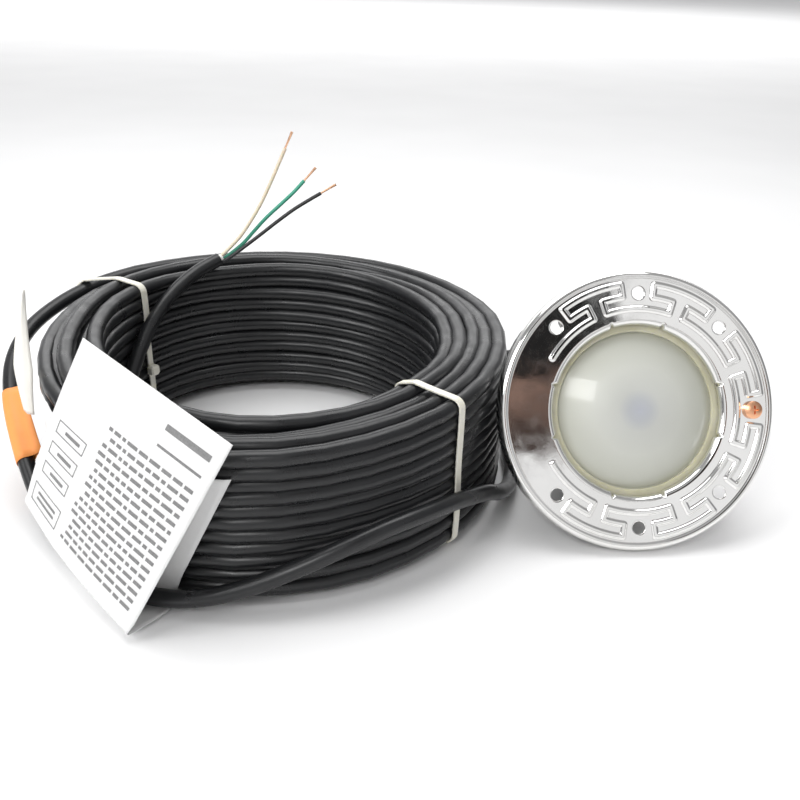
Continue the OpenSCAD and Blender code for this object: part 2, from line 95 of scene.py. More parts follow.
# ---------------------------------------------------------------- materials
class Shader:
    """A small helper round one node material."""

    def __init__(self, name):
        self.mat = bpy.data.materials.new(name)
        self.mat.use_nodes = True
        self.tree = self.mat.node_tree
        self.bsdf = self.tree.nodes["Principled BSDF"]
        self.coord = self.tree.nodes.new("ShaderNodeTexCoord").outputs["Object"]

    def set(self, **values):
        names = {"color": "Base Color", "rough": "Roughness", "metal": "Metallic",
                 "trans": "Transmission Weight", "ior": "IOR", "coat": "Coat Weight",
                 "coat_rough": "Coat Roughness", "spec": "Specular IOR Level",
                 "sss": "Subsurface Weight", "sss_radius": "Subsurface Radius",
                 "sss_scale": "Subsurface Scale"}
        for key, value in values.items():
            socket = self.bsdf.inputs[names[key]]
            if hasattr(value, "links"):
                self.tree.links.new(value, socket)
            elif key == "color":
                socket.default_value = (*value, 1)
            else:
                socket.default_value = value
        return self

    def noise(self, scale, detail=4, rough=0.55):
        tex = self.tree.nodes.new("ShaderNodeTexNoise")
        tex.inputs["Scale"].default_value = scale
        tex.inputs["Detail"].default_value = detail
        tex.inputs["Roughness"].default_value = rough
        self.tree.links.new(self.coord, tex.inputs["Vector"])
        return tex.outputs["Fac"]

    def ramp(self, value, *stops):
        """Colour stops, each a place and a colour or a grey."""
        node = self.tree.nodes.new("ShaderNodeValToRGB")
        ramp = node.color_ramp
        while len(ramp.elements) < len(stops):
            ramp.elements.new(0.5)
        for element, (at, color) in zip(ramp.elements, stops):
            element.position = at
            element.color = (*color, 1) if hasattr(color, "__len__") else (color, color, color, 1)
        self.tree.links.new(value, node.inputs["Fac"])
        return node.outputs["Color"]

    def fit(self, value, low, high, frm=0.3, to=0.7):
        """The value, stretched from one range to another."""
        node = self.tree.nodes.new("ShaderNodeMapRange")
        for key, v in (("From Min", frm), ("From Max", to), ("To Min", low), ("To Max", high)):
            node.inputs[key].default_value = v
        self.tree.links.new(value, node.inputs["Value"])
        return node.outputs["Result"]

    def bump(self, value, distance, strength=1.0, after=None):
        node = self.tree.nodes.new("ShaderNodeBump")
        node.inputs["Strength"].default_value = strength
        node.inputs["Distance"].default_value = distance
        self.tree.links.new(value, node.inputs["Height"])
        if after is not None:
            self.tree.links.new(after, node.inputs["Normal"])
        self.tree.links.new(node.outputs["Normal"], self.bsdf.inputs["Normal"])
        return node.outputs["Normal"]


def metal(name, color, rough, wear=0.08, grain=0.00002, spread=0.12):
    s = Shader(name)
    cloud = s.noise(38, 5)
    fine = s.noise(900, 3)
    dark = tuple(c * (1 - spread) for c in color)
    s.set(metal=1.0, color=s.ramp(cloud, (0.3, dark), (0.7, color)),
          rough=s.fit(cloud, rough, rough + wear))
    s.bump(fine, grain, 0.5)
    return s.mat


def plastic(name, color, rough, spread=0.1, grain=0.00003, **more):
    s = Shader(name)
    cloud = s.noise(55, 4)
    dark = tuple(c * (1 - spread) for c in color)
    s.set(color=s.ramp(cloud, (0.3, dark), (0.7, color)),
          rough=s.fit(s.noise(160, 4), rough - 0.05, rough + 0.08), **more)
    s.bump(s.noise(1400, 2), grain, 0.4)
    return s.mat


def jacket_material():
    s = Shader("cord jacket")
    cloud = s.noise(26, 5, 0.6)
    dust = s.noise(420, 5, 0.7)
    s.set(color=s.ramp(cloud, (0.25, (0.008, 0.0083, 0.0092)), (0.6, (0.013, 0.0135, 0.0147)),
                       (0.8, (0.020, 0.021, 0.0225))),
          rough=s.fit(s.noise(90, 5), 0.24, 0.38), spec=0.48)
    first = s.bump(s.noise(60, 3), 0.00035, 0.5)
    s.bump(dust, 0.00002, 0.5, first)
    return s.mat


def polished_steel():
    s = Shader("polished stainless")
    cloud = s.noise(14, 4, 0.5)
    streak = s.noise(120, 5, 0.6)
    s.set(metal=1.0, color=s.ramp(cloud, (0.3, (0.80, 0.795, 0.775)), (0.7, (0.90, 0.895, 0.88))),
          rough=s.fit(streak, 0.045, 0.13))
    first = s.bump(s.noise(26, 2), 0.0007, 0.35)
    s.bump(s.noise(700, 4), 0.000008, 0.5, first)
    return s.mat


def lens_distance(s):
    """Distance from the lens's axis, as a shader value."""
    tree = s.tree
    centre = LYING @ Vector((0, 0, 0))
    axis = (LYING @ Vector((0, 0, 1)) - centre).normalized()
    away = tree.nodes.new("ShaderNodeVectorMath")
    away.operation = "SUBTRACT"
    away.inputs[1].default_value = centre
    tree.links.new(s.coord, away.inputs[0])
    cross = tree.nodes.new("ShaderNodeVectorMath")
    cross.operation = "CROSS_PRODUCT"
    cross.inputs[1].default_value = axis
    tree.links.new(away.outputs["Vector"], cross.inputs[0])
    size = tree.nodes.new("ShaderNodeVectorMath")
    size.operation = "LENGTH"
    tree.links.new(cross.outputs["Vector"], size.inputs[0])
    return size.outputs["Value"]


def glass_material():
    s = Shader("frosted lens glass")
    r = s.fit(lens_distance(s), 0.0, 1.0, 0.0, 0.048)
    # painted glow: the colour runs from a bluish-grey spot at the centre out to a paler ring, then
    # darker and yellower towards the edge
    s.set(color=s.ramp(r, (0.0, (0.60, 0.62, 0.68)), (0.13, (0.62, 0.64, 0.66)),
                       (0.26, (0.73, 0.74, 0.70)), (0.55, (0.77, 0.78, 0.72)),
                       (0.85, (0.70, 0.71, 0.63)), (1.0, (0.60, 0.60, 0.49))),
          rough=s.fit(s.noise(30, 4), 0.30, 0.40), trans=0.35, ior=1.48, coat=0.6, coat_rough=0.09,
          sss=0.25, sss_radius=(0.02, 0.02, 0.02), sss_scale=0.2)
    s.bump(s.noise(30, 2), 0.0002, 0.3)
    return s.mat


def optic_material():
    s = Shader("optic")
    s.set(color=(0.78, 0.82, 0.93), rough=s.fit(s.noise(90, 3), 0.08, 0.2), trans=0.35, ior=1.49)
    return s.mat


def gasket_material():
    s = Shader("gasket silicone")
    cloud = s.noise(60, 4)
    s.set(color=s.ramp(cloud, (0.3, (0.52, 0.50, 0.36)), (0.7, (0.64, 0.62, 0.47))),
          rough=s.fit(s.noise(140, 3), 0.28, 0.42), trans=0.15, sss=0.5,
          sss_radius=(0.004, 0.004, 0.002), sss_scale=1.0)
    s.bump(s.noise(260, 3), 0.0001, 0.4)
    return s.mat


def paper_material(name, color):
    s = Shader(name)
    cloud = s.noise(70, 5, 0.6)
    dark = tuple(c * 0.955 for c in color)
    s.set(color=s.ramp(cloud, (0.3, dark), (0.7, color)), rough=s.fit(s.noise(300, 3), 0.42, 0.58))
    first = s.bump(s.noise(18, 3), 0.0006, 0.35)
    s.bump(s.noise(2200, 3), 0.00001, 0.6, first)
    return s.mat


def ink_material(name, value):
    s = Shader(name)
    s.set(color=s.ramp(s.noise(900, 3), (0.3, value), (0.75, value * 1.5)), rough=0.5)
    return s.mat


MAT = {
    "face": polished_steel(),
    "steel": metal("satin stainless", (0.72, 0.72, 0.71), 0.24),
    "copper_screw": metal("copper plated", (0.93, 0.50, 0.30), 0.22, 0.14),
    "brass": metal("brass", (0.80, 0.60, 0.28), 0.25),
    "bronze": metal("bronze", (0.62, 0.44, 0.25), 0.34, 0.12),
    "aluminium": metal("cast aluminium", (0.66, 0.67, 0.68), 0.42, 0.1, 0.00006),
    "copper": metal("copper strands", (0.86, 0.55, 0.36), 0.24, 0.1),
    "glass": glass_material(),
    "optic": optic_material(),
    "gasket": gasket_material(),
    "rubber": plastic("black rubber", (0.025, 0.025, 0.027), 0.55, 0.25, 0.00006),
    "black": plastic("black plastic", (0.03, 0.03, 0.032), 0.4),
    "white": plastic("white plastic", (0.82, 0.82, 0.80), 0.4, 0.05),
    "board": plastic("white board", (0.86, 0.86, 0.85), 0.35, 0.04),
    "phosphor": plastic("phosphor", (0.90, 0.80, 0.30), 0.35),
    "pad": plastic("thermal pad", (0.42, 0.48, 0.56), 0.6),
    "green_board": plastic("green board", (0.03, 0.22, 0.10), 0.25, 0.2),
    "tape": plastic("winding tape", (0.78, 0.62, 0.16), 0.3),
    "sleeve": plastic("capacitor sleeve", (0.05, 0.06, 0.20), 0.25),
    "winding": metal("copper winding", (0.62, 0.26, 0.12), 0.3),
    "terminal": plastic("terminal green", (0.04, 0.34, 0.15), 0.4),
    "fuse": plastic("fuse glass", (0.75, 0.77, 0.77), 0.1, 0.05, trans=0.5),
    "core_white": plastic("ivory insulation", (0.78, 0.68, 0.52), 0.33, 0.08, sss=0.1),
    "core_green": plastic("green insulation", (0.05, 0.36, 0.24), 0.33, 0.12),
    "core_black": plastic("black insulation", (0.018, 0.018, 0.02), 0.3),
    "core_red": plastic("red insulation", (0.5, 0.04, 0.03), 0.35),
    "jacket": jacket_material(),
    "filler": plastic("white filler", (0.86, 0.85, 0.82), 0.75, 0.1, 0.0002),
    "nylon": plastic("natural nylon", (0.80, 0.78, 0.69), 0.32, 0.07, 0.00004, sss=0.25,
                     sss_radius=(0.003, 0.003, 0.002)),
    "paper": paper_material("tag paper", (0.80, 0.80, 0.795)),
    "flag": paper_material("flag paper", (0.88, 0.86, 0.80)),
    "orange": paper_material("orange label", (0.93, 0.33, 0.08)),
    "ink": ink_material("grey ink", 0.16),
}

NODE_MATERIALS = {
    "face": ["face_ring"],
    "steel": ["niche_hook", "ring_clips", "clamp_band", "can", "chassis_posts", "board_screws",
              "chassis_screws", "clamp_screw", "thrust_washer", "ground_terminal"],
    "copper_screw": ["pilot_screw"],
    "rubber": ["screw_retainer", "gland_seal", "gland_washer", "strain_relief"],
    "glass": ["lens"], "gasket": ["lens_gasket"],
    "brass": ["clamp_trunnion", "clamp_nut", "ground_stud", "ground_nut"],
    "bronze": ["gland_body", "gland_locknut", "gland_nut"],
    "white": ["reflector"], "optic": ["led_optic"], "phosphor": ["led_chips"],
    "board": ["led_board"], "pad": ["thermal_pad"], "aluminium": ["heat_sink"],
    "green_board": ["driver_board"], "tape": ["transformer"], "sleeve": ["capacitors"],
    "winding": ["inductor"], "terminal": ["terminal_block"], "fuse": ["fuse"],
    "black": ["thermal_cutout"],
    "core_white": ["wire_white", "core_white"], "core_black": ["wire_black", "core_black"],
    "core_green": ["wire_green", "core_green"], "core_red": ["led_wires"],
    "jacket": ["cord_entry", "cord_lead", "cord_coil", "cord_tail"], "filler": ["cord_filler"],
    "copper": ["strands_white", "strands_green", "strands_black"],
    "nylon": ["tie_left", "tie_right"], "paper": ["paper_tag"], "flag": ["label_flag"],
    "orange": ["cord_label"],
}
for key, names in NODE_MATERIALS.items():
    for name in names:
        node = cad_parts[name]
        node.data.materials.clear()
        node.data.materials.append(MAT[key])


# ---------------------------------------------------------------- mesh helpers
def make_mesh(name, verts, faces, material, smooth=True):
    """verts in metres, in the frame's axes."""
    data = bpy.data.meshes.new(name)
    data.from_pydata([tuple(v) for v in verts], [], faces)
    data.update()
    obj = bpy.data.objects.new(name, data)
    bpy.context.scene.collection.objects.link(obj)
    data.materials.append(material)
    for p in data.polygons:
        p.use_smooth = smooth
    return obj


def frames_along(points):
    """Turning frames (tangent, side, up) along a line, with no twist."""
    n = len(points)
    tangents = [(points[min(i + 1, n - 1)] - points[max(i - 1, 0)]).normalized() for i in range(n)]
    side = tangents[0].orthogonal().normalized()
    out = []
    for t in tangents:
        side = (side - t * side.dot(t)).normalized()
        out.append((t, side, t.cross(side)))
    return out


def add_tube(verts, faces, points, radius, sides):
    """Adds an open round tube; radius is a number or a function of the point's number, in metres."""
    base = len(verts)
    for i, (p, (t, a, b)) in enumerate(zip(points, frames_along(points))):
        r = radius(i) if callable(radius) else radius
        for k in range(sides):
            w = 2 * math.pi * k / sides
            verts.append(p + r * (math.cos(w) * a + math.sin(w) * b))
    for i in range(len(points) - 1):
        row = base + i * sides
        for k in range(sides):
            m = (k + 1) % sides
            faces.append((row + k, row + m, row + sides + m, row + sides + k))
    return base


def tube_mesh(name, points, radius, material, sides=16):
    """A round tube with flat ends."""
    verts, faces = [], []
    add_tube(verts, faces, points, radius, sides)
    faces.append(tuple(range(sides - 1, -1, -1)))
    faces.append(tuple(len(verts) - sides + k for k in range(sides)))
    obj = make_mesh(name, verts, faces, material)
    obj.data.polygons[-1].use_smooth = False
    obj.data.polygons[-2].use_smooth = False
    return obj


def thicken(obj, thickness, offset=0):
    """Gives a sheet its thickness."""
    sheet = obj.modifiers.new("sheet", "SOLIDIFY")
    sheet.thickness = thickness * MM
    sheet.offset = offset


# ---------------------------------------------------------------- the cord's line
TURNS = 54 + 264 / 360
LAYERS = 5
ROWS = TURNS / LAYERS  # turns in a layer
TOP_Z, LOW_Z = 101.0, 5.2
COIL_R, COIL_R_MAX = 150.6, 152.0  # centreline of the outermost layer
STEPS = 40  # points in a turn
COIL_START, COIL_START_R, COIL_START_Z = -228, 151.0, 96.5
TAIL_R, TAIL_Z = 108, 15  # where the winding ends and the tail begins
TIES = {"back_left": 146, "front_right": -43}  # angles round the coil


def lead_line():
    """From the strain relief, behind the lamp and once round the coil's outside to its top."""
    start = LYING @ Vector((0, 0, BOOT_BACK)) / MM
    behind = [(1, 96, 6.5), (5, 112, 5), (12, 132, 5), (18, 150, 5), (16, 172, 5), (2, 190, 5),
              (-20, 198, 5), (-43, 190, 5), (-58, 172, 5), (-63, 150, 5), (-61, 125, 5),
              (-57, 100, 5), (-54, 75, 5), (-53, 52, 5)]
    rounding = [(0, 165, 5), (-9, 164.5, 6), (-18, 164.5, 9), (-28, 164.5, 20), (-37, 164.5, 33),
                (-46, 164.5, 41), (-55, 164.5, 44), (-64, 164, 43), (-73, 164, 37), (-82, 164, 28),
                (-91, 164, 18), (-100, 164, 10.5), (-109, 163.5, 7.4), (-118, 161.5, 7.6),
                (-128, 157, 9), (-139, 152.5, 14), (-150, 151, 23), (-162, 153, 38), (-174, 159, 54),
                (-186, 166.5, 67), (-197, 168.5, 78), (-208, 164, 87), (-218, 157.5, 93),
                (COIL_START, COIL_START_R, COIL_START_Z)]
    return catmull([start] + [Vector(p) for p in behind] + [round_coil(*p) for p in rounding], 6)


def tail_line():
    """From the coil's innermost turn up across the inside to the cut end."""
    points = [(228, TAIL_R, TAIL_Z), (216, 102, 15.5), (204, 98.5, 17), (192, 98, 20), (181, 98, 26),
              (171, 98, 36), (163, 98, 49), (155, 98, 63), (147, 98, 77), (138, 99, 89),
              (129, 101, 98), (120, 104, 105), (111, 107, 110.5)]
    return catmull([round_coil(*p) for p in points], 6)


def squeeze(angle):
    """How far the left side of the coil is drawn in, from 0 to 1."""
    return bump((angle + 168) % 360, 0, 85) + bump((angle + 168) % 360, 360, 85)


def shape_coil(angle, r, z, turn):
    """Bends the even winding into the loose shape that the ties leave it."""
    a = math.radians(angle)
    high = smoothstep(0, 100, z)
    top = 1.0 - 0.10 * high * bump(angle % 360, 270, 120)
    z2 = z * top
    wave = 1.6 * math.sin(2 * a + 0.5) + 1.0 * math.sin(3 * a + 2.0)
    tied = max(bump((angle - tie_at + 180) % 360, 180, 26) for tie_at in TIES.values())
    loose = 1 - 0.85 * tied
    n1 = noise.noise(Vector((math.cos(a) * 1.1, math.sin(a) * 1.1, turn * 1.7)))
    n2 = noise.noise(Vector((math.cos(a) * 1.1 + 9.0, math.sin(a) * 1.1, turn * 1.7)))
    amount = 1.5 + 1.8 * high
    r2 = min(r + wave * 0.6 * high + n1 * amount * loose, COIL_R_MAX)
    flat = squeeze(angle) * (10 + 9 * (r2 - 105) / 45)
    return r2 - flat, z2 + n2 * 1.3 * loose * (1 if z > 12 else 0.2)


def coil_line(pitch):
    """The winding: five layers, outermost first, the first running down, the next up, and so on."""
    line = []
    count = int(TURNS * STEPS)
    height = TOP_Z - LOW_Z
    for i in range(1, count):
        turn = i / STEPS
        angle = COIL_START - 360 * turn
        layer = min(LAYERS - 1, int(turn / ROWS))
        part = turn - layer * ROWS
        change = smoothstep(ROWS - 0.28, ROWS, part) if layer < LAYERS - 1 else 0.0
        r = COIL_R - pitch * (layer + change)
        down = part / ROWS
        z = TOP_Z - height * down if layer % 2 == 0 else LOW_Z + height * down
        # the first turn comes off the lead and the last runs into the tail
        z += (COIL_START_Z - TOP_Z) * (1 - smoothstep(0, 0.5, turn))
        z += (TAIL_Z - z) * smoothstep(TURNS - 1.1, TURNS, turn)
        bent_r, bent_z = shape_coil(angle, r, z, turn)
        free = smoothstep(0, 0.25, turn) * (1 - smoothstep(TURNS - 0.2, TURNS, turn))
        r += (bent_r - r) * free
        z += (bent_z - z) * free
        r += (TAIL_R - r) * smoothstep(TURNS - 0.3, TURNS, turn)
        r += (COIL_START_R - r) * (1 - smoothstep(0, 0.25, turn))
        line.append(round_coil(angle, r, max(z, CORD_R)))
    return line


def line_length(points):
    return sum((b - a).length for a, b in zip(points, points[1:]))


# the layers are spaced so that the whole line has the cord's length
layer_pitch = 9.5
lead, tail = lead_line(), tail_line()
for _ in range(4):
    cord_points = lead + coil_line(layer_pitch) + tail
    layer_pitch -= (CORD_LENGTH / MM - line_length(cord_points)) / (2 * math.pi * TURNS) / 2
print("cord: layer pitch %.2f mm, length %.3f m, %d points" % (
    layer_pitch, line_length(cord_points) * MM, len(cord_points)))

curve = bpy.data.curves.new("cord", "CURVE")
curve.dimensions = "3D"
curve.bevel_depth = CORD_R * MM
curve.bevel_resolution = 6
curve.use_fill_caps = True
spline = curve.splines.new("POLY")
spline.points.add(len(cord_points) - 1)
for point, p in zip(spline.points, cord_points):
    point.co = (*(p * MM), 1)
spline.use_smooth = True
cord = bpy.data.objects.new("cord", curve)
bpy.context.scene.collection.objects.link(cord)
curve.materials.append(MAT["jacket"])
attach(cord, "root")
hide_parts("cord_lead", "cord_coil", "cord_tail")

# ---------------------------------------------------------------- cores and bare strands
CORES = {
    "white": [(-260.5, 131, 111), (-253.5, 133.5, 117), (-244.5, 136, 126), (-236.5, 138, 137),
              (-228.5, 140, 150), (-221.5, 141.5, 164), (-215.5, 143, 177), (-210.5, 144, 188)],
    "green": [(-258.5, 132.5, 109), (-251.5, 136, 113.5), (-242.5, 138.5, 120.5), (-234.5, 140.5, 129),
              (-225.5, 142, 138.5), (-215.5, 143.5, 147.5), (-205.5, 145, 156.5), (-197.5, 146, 165)],
    "black": [(-258.5, 129.5, 108.5), (-250.5, 131, 113), (-240.5, 133, 120), (-229.5, 135, 128),
              (-217.5, 137, 137), (-205.5, 139, 145.5), (-194.5, 141, 152), (-185.5, 142.5, 157)],
}
STRAND_LENGTH = 13
for name, route in CORES.items():
    points = [p * MM for p in catmull([Vector(p) for p in route], 6)]
    core = tube_mesh("insulation_" + name, points, CORE_R * MM, MAT["core_" + name])
    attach(core, "root")
    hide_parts("core_" + name)
    tip = points[-1]
    way = (points[-1] - points[-3]).normalized()
    side = way.orthogonal().normalized()
    other = way.cross(side)
    verts, faces = [], []
    for strand in range(7):
        path = []  # six strands twisted round a seventh
        for i in range(15):
            t = i / 14
            turn = 2 * math.pi * (strand / 6 + 1.6 * t)
            spread = (0.0 if strand == 6 else 0.50 + 0.28 * t * t) * MM
            path.append(tip - way * 0.5 * MM + way * STRAND_LENGTH * MM * t
                        + spread * (math.cos(turn) * side + math.sin(turn) * other))
        base = add_tube(verts, faces, path, 0.26 * MM, 6)
        faces.append(tuple(base + 84 + k for k in range(6)))
    strands = make_mesh("bare_strands_" + name, verts, faces, MAT["copper"])
    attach(strands, "root")
    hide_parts("strands_" + name)

# ---------------------------------------------------------------- face ring
def ridge_height(x, y):
    """Height of the embossed key band over the sheet, for arrays of points."""
    r = np.hypot(x, y)
    a = np.degrees(np.arctan2(y, x))
    far = np.full(x.shape, 99.0)

    def arc(r0, start, end):
        mid, half = (start + end) / 2, (end - start) / 2
        off = (a - mid + 180) % 360 - 180
        ends = [np.hypot(x - r0 * math.cos(math.radians(e)), y - r0 * math.sin(math.radians(e)))
                for e in (start, end)]
        d = np.where(np.abs(off) <= half, np.abs(r - r0), np.minimum(*ends))
        np.minimum(far, d, out=far)

    def bar(angle, r0, r1):
        c, s = math.cos(math.radians(angle)), math.sin(math.radians(angle))
        along = np.clip(x * c + y * s, r0, r1)
        np.minimum(far, np.hypot(x - along * c, y - along * s), out=far)

    half, gap = 18.4, 7.7
    for hole in HOLES:
        left, right = hole != HOLES[0], hole != HOLES[-1]
        arc(KEY_IN, hole - (half if right else 14), hole + (half if left else 14))
        for side, wanted in ((1, left), (-1, right)):
            if wanted:
                bar(hole + side * half, KEY_IN, KEY_MID)
                arc(KEY_MID, *sorted((hole + side * gap, hole + side * half)))
                bar(hole + side * gap, KEY_MID, KEY_OUT)
    for mid in (112.5, 67.5, 22.5, -22.5, -67.5, -112.5):
        arc(KEY_OUT, mid - 22.5 + gap, mid + 22.5 - gap)
    t = np.clip((far - 0.75) / 1.25, 0, 1)
    return 1.0 - t * t * (3 - 2 * t)


def face_ring():
    """The whole ring as one pressed sheet: lip, embossed flat with its holes, bead and rolled rim."""
    lip = [(49.5, -5.0), (49.55, -4.2), (49.6, -3.4), (49.75, -2.6), (50.05, -1.85),
           (50.5, -1.2), (51.1, -0.65), (51.8, -0.28), (52.6, -0.07)]
    flat = [(r, 0.0) for r in np.arange(53.2, 77.4, 0.4)]
    rim = [(77.5, 0.06), (78.0, 0.28), (78.6, 0.52), (79.3, 0.62), (80.0, 0.5), (80.7, 0.15),
           (81.35, -0.45), (81.85, -1.2), (82.2, -2.1), (82.4, -3.1), (82.48, -4.2),
           (82.5, -5.5), (82.5, -7.2), (82.5, -9.0)]
    profile = np.array(lip + flat + rim)
    steps = 1260
    angle = np.radians(np.arange(steps) * 360 / steps)
    r = np.repeat(profile[None, :, 0], steps, 0)
    z = np.repeat(profile[None, :, 1], steps, 0)
    a = np.repeat(angle[:, None], len(profile), 1)
    # four wide tabs in the lip, with a small relief notch at each end of each tab
    off = (np.degrees(a) + 45) % 90 - 45
    near_lip = np.clip((54.5 - r) / 3.5, 0, 1)
    tab = np.clip((17.5 - np.abs(off)) / 0.8, 0, 1)
    notch = np.exp(-((np.abs(off) - 17.2) / 0.95) ** 2)
    r = r + near_lip * (0.75 * tab + 1.9 * notch)
    x, y = r * np.cos(a), r * np.sin(a)
    on_flat = (r > 55) & (r < 77.3)
    z = z + np.where(on_flat, 0.95 * ridge_height(x, y), 0)
    # hollows round the seven holes, and hole edges drawn out to a true circle
    inside = np.zeros(x.shape, bool)
    for hole in HOLES:
        hx, hy = polar(hole, HOLE_AT).xy
        d = np.hypot(x - hx, y - hy)
        z = z - 0.35 * np.clip(1 - (d - HOLE_R) / 0.7, 0, 1) ** 2 * (d < HOLE_R + 0.7)
        within = d < HOLE_R
        inside |= within
        grow = np.where(within, HOLE_R / np.maximum(d, 0.01), 1)
        x, y = hx + (x - hx) * grow, hy + (y - hy) * grow
    cols = len(profile)
    verts = [LYING @ Vector(p) for p in zip(x.ravel(), y.ravel(), z.ravel())]
    faces = []
    for i in range(steps):
        m = (i + 1) % steps
        for j in range(cols - 1):
            if not (inside[i, j] and inside[i, j + 1] and inside[m, j] and inside[m, j + 1]):
                faces.append((i * cols + j, i * cols + j + 1, m * cols + j + 1, m * cols + j))
    obj = make_mesh("pressed_ring", verts, faces, MAT["face"])
    thicken(obj, 1.1, offset=-1)
    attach(obj, "root")
    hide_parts("face_ring")


face_ring()


# ---------------------------------------------------------------- screw thread
def screw_thread():
    """The thread on the pilot screw's end, as one fine ridge that tapers off at both ends."""
    pitch, start, end, r, steps = 1.27, -17.5, -37.8, 3.05, 24
    points = []
    count = int((start - end) / pitch * steps)
    for i in range(count + 1):
        w = 2 * math.pi * i / steps
        points.append(LYING @ Vector((HOLE_AT + r * math.cos(w), r * math.sin(w),
                                      start - pitch * i / steps)))

    def radius(i):
        return 0.36 * MM * min(1, i / 20 + 0.1, (count - i) / 20 + 0.1)

    thread = tube_mesh("screw_thread", points, radius, MAT["copper_screw"], 6)
    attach(thread, "pilot_screw")


screw_thread()


# ---------------------------------------------------------------- cable ties
def hull(points):
    """The convex outline round flat points."""
    points = sorted(set(points))

    def half(seq):
        out = []
        for p in seq:
            while len(out) > 1 and ((out[-1][0] - out[-2][0]) * (p[1] - out[-2][1])
                                    - (out[-1][1] - out[-2][1]) * (p[0] - out[-2][0])) <= 0:
                out.pop()
            out.append(p)
        return out[:-1]
    return half(points) + half(points[::-1])


def tie(name, node_name, angle, strands, head_z):
    """A nylon strap drawn tight round the strands that cross the plane at this angle."""
    across = []
    for p in strands:
        v = p - Vector((COIL_X, COIL_Y, 0))
        off = (math.degrees(math.atan2(v.y, v.x)) - angle + 180) % 360 - 180
        if abs(off) < 5.0:
            across.append((v.xy.length, v.z))
    rim = [(round(r + 5.5 * math.cos(w * math.pi / 12), 3),
            round(max(z + 5.5 * math.sin(w * math.pi / 12), 0.65), 3))
           for r, z in across for w in range(24)]
    loop = hull(rim)
    dense = []
    for i, p in enumerate(loop):
        q = loop[(i + 1) % len(loop)]
        n = max(1, int(math.dist(p, q) / 2.0))
        dense += [(p[0] + (q[0] - p[0]) * k / n, p[1] + (q[1] - p[1]) * k / n) for k in range(n)]
    n = len(dense)
    radial, sideways = polar(angle, 1), polar(angle + 90, 1)
    centre = Vector((COIL_X, COIL_Y, 0))
    verts, faces = [], []
    section = [(-2.4, -0.35), (-2.2, -0.6), (2.2, -0.6), (2.4, -0.35), (2.4, 0.35), (2.2, 0.6),
               (-2.2, 0.6), (-2.4, 0.35)]
    for i, (r, z) in enumerate(dense):
        a, b = dense[i - 1], dense[(i + 1) % n]
        tx, tz = b[0] - a[0], b[1] - a[1]
        size = math.hypot(tx, tz) or 1
        out_r, out_z = tz / size, -tx / size
        twist = 0.5 * math.sin(i * 0.21)
        for across_w, thick in section:
            t = thick * (1 + (0.25 if i % 2 and thick < 0 else 0))
            verts.append((centre + radial * (r + out_r * t) + Vector((0, 0, z + out_z * t))
                          + sideways * (across_w + twist)) * MM)
    for i in range(n):
        for k in range(8):
            m, j = (k + 1) % 8, (i + 1) % n
            faces.append((i * 8 + k, j * 8 + k, j * 8 + m, i * 8 + m))
    # the square head on the inner wall, with the end of the strap cut off short
    inner = min(r for r, z in dense)
    base = len(verts)
    depth, half_w, tall, soft = 5.2, 3.9, 7.4, 1.0
    rings = [(0.0, 0.0), (0.0, 1.0), (depth - soft, 1.0), (depth, 0.72)]
    for d, grow in rings:
        for k in range(16):
            w = 2 * math.pi * (k + 0.5) / 16
            c, s = math.cos(w), math.sin(w)
            box = 1 / max(abs(c), abs(s)) ** 0.8
            verts.append((centre + radial * (inner + 0.4 - d) + sideways * (half_w * grow * c * box)
                          + Vector((0, 0, head_z + tall / 2 * grow * s * box))) * MM)
    for j in range(3):
        for k in range(16):
            m = (k + 1) % 16
            faces.append((base + j * 16 + k, base + j * 16 + m,
                          base + (j + 1) * 16 + m, base + (j + 1) * 16 + k))
    faces.append(tuple(base + 48 + k for k in range(16)))
    obj = make_mesh(name, verts, faces, MAT["nylon"], smooth=False)
    edge = obj.modifiers.new("soft edge", "BEVEL")
    edge.width = 0.15 * MM
    edge.segments = 2
    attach(obj, "root")
    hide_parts(node_name)
    return obj


coil_only = cord_points[len(lead):len(cord_points) - len(tail)]
ties = [tie("tie_back_left", "tie_left", TIES["back_left"], coil_only + lead[-24:], 42),
        tie("tie_front_right", "tie_right", TIES["front_right"], coil_only, 74)]


# ---------------------------------------------------------------- tag and label
def lead_at(angle):
    """Radius and height of the lead's centreline where it passes this angle."""
    near = sorted(lead[60:], key=lambda p: abs((math.degrees(math.atan2(
        p.y - COIL_Y, p.x - COIL_X)) - angle + 180) % 360 - 180))[:2]
    return [sum(v) / 2 for v in zip(*((math.hypot(p.x - COIL_X, p.y - COIL_Y), p.z)
                                      for p in near))]


# the front leaf's corners: its bottom and left ones on the fold, its right and top ones free
BOTTOM, LEFT = Vector((-281, -150, 4.0)), Vector((-357, -52, 21))
RIGHT, TOP = Vector((-224.6, -143, 108)), Vector((-308, -64, 129))


def front_leaf(s, t):
    """A point of the leaf in front: s runs along the fold, t from the fold to the free edge."""
    p = BOTTOM.lerp(LEFT, s).lerp(RIGHT.lerp(TOP, s), t)
    # bowed outwards where it leans on the coil, and where it clears the lead
    bow = 14.0 * math.sin(math.pi * t) * (0.15 + 0.85 * math.sin(math.pi / 2 * s))
    low_bow = 4.0 * math.sin(math.pi * s) * (1 - t)
    return p + Vector((0.10, -0.90, 0.35)) * bow + Vector((-0.62, -0.62, 0.30)) * low_bow


def tag_section(s):
    """One line across the sheet, from the top of the leaf behind, under the cord, up the front."""
    start = -105 - 42 * s
    lead_r, lead_z = lead_at(start)
    low = max(1.0, lead_z - 5.9)
    line = []
    for k in range(9):
        t = 1 - k / 9
        angle = start + 12.5 * t * (1 - s)
        r = 158.0 - 19.0 * squeeze(angle)
        line.append(round_coil(angle, r, low + 6 + 71 * t))
    line.append(round_coil(start, lead_r - 3.5, low + 1.5))
    line.append(round_coil(start, lead_r + 3, low))
    line += [front_leaf(s, k / 16) for k in range(17)]
    return catmull(line, 3)


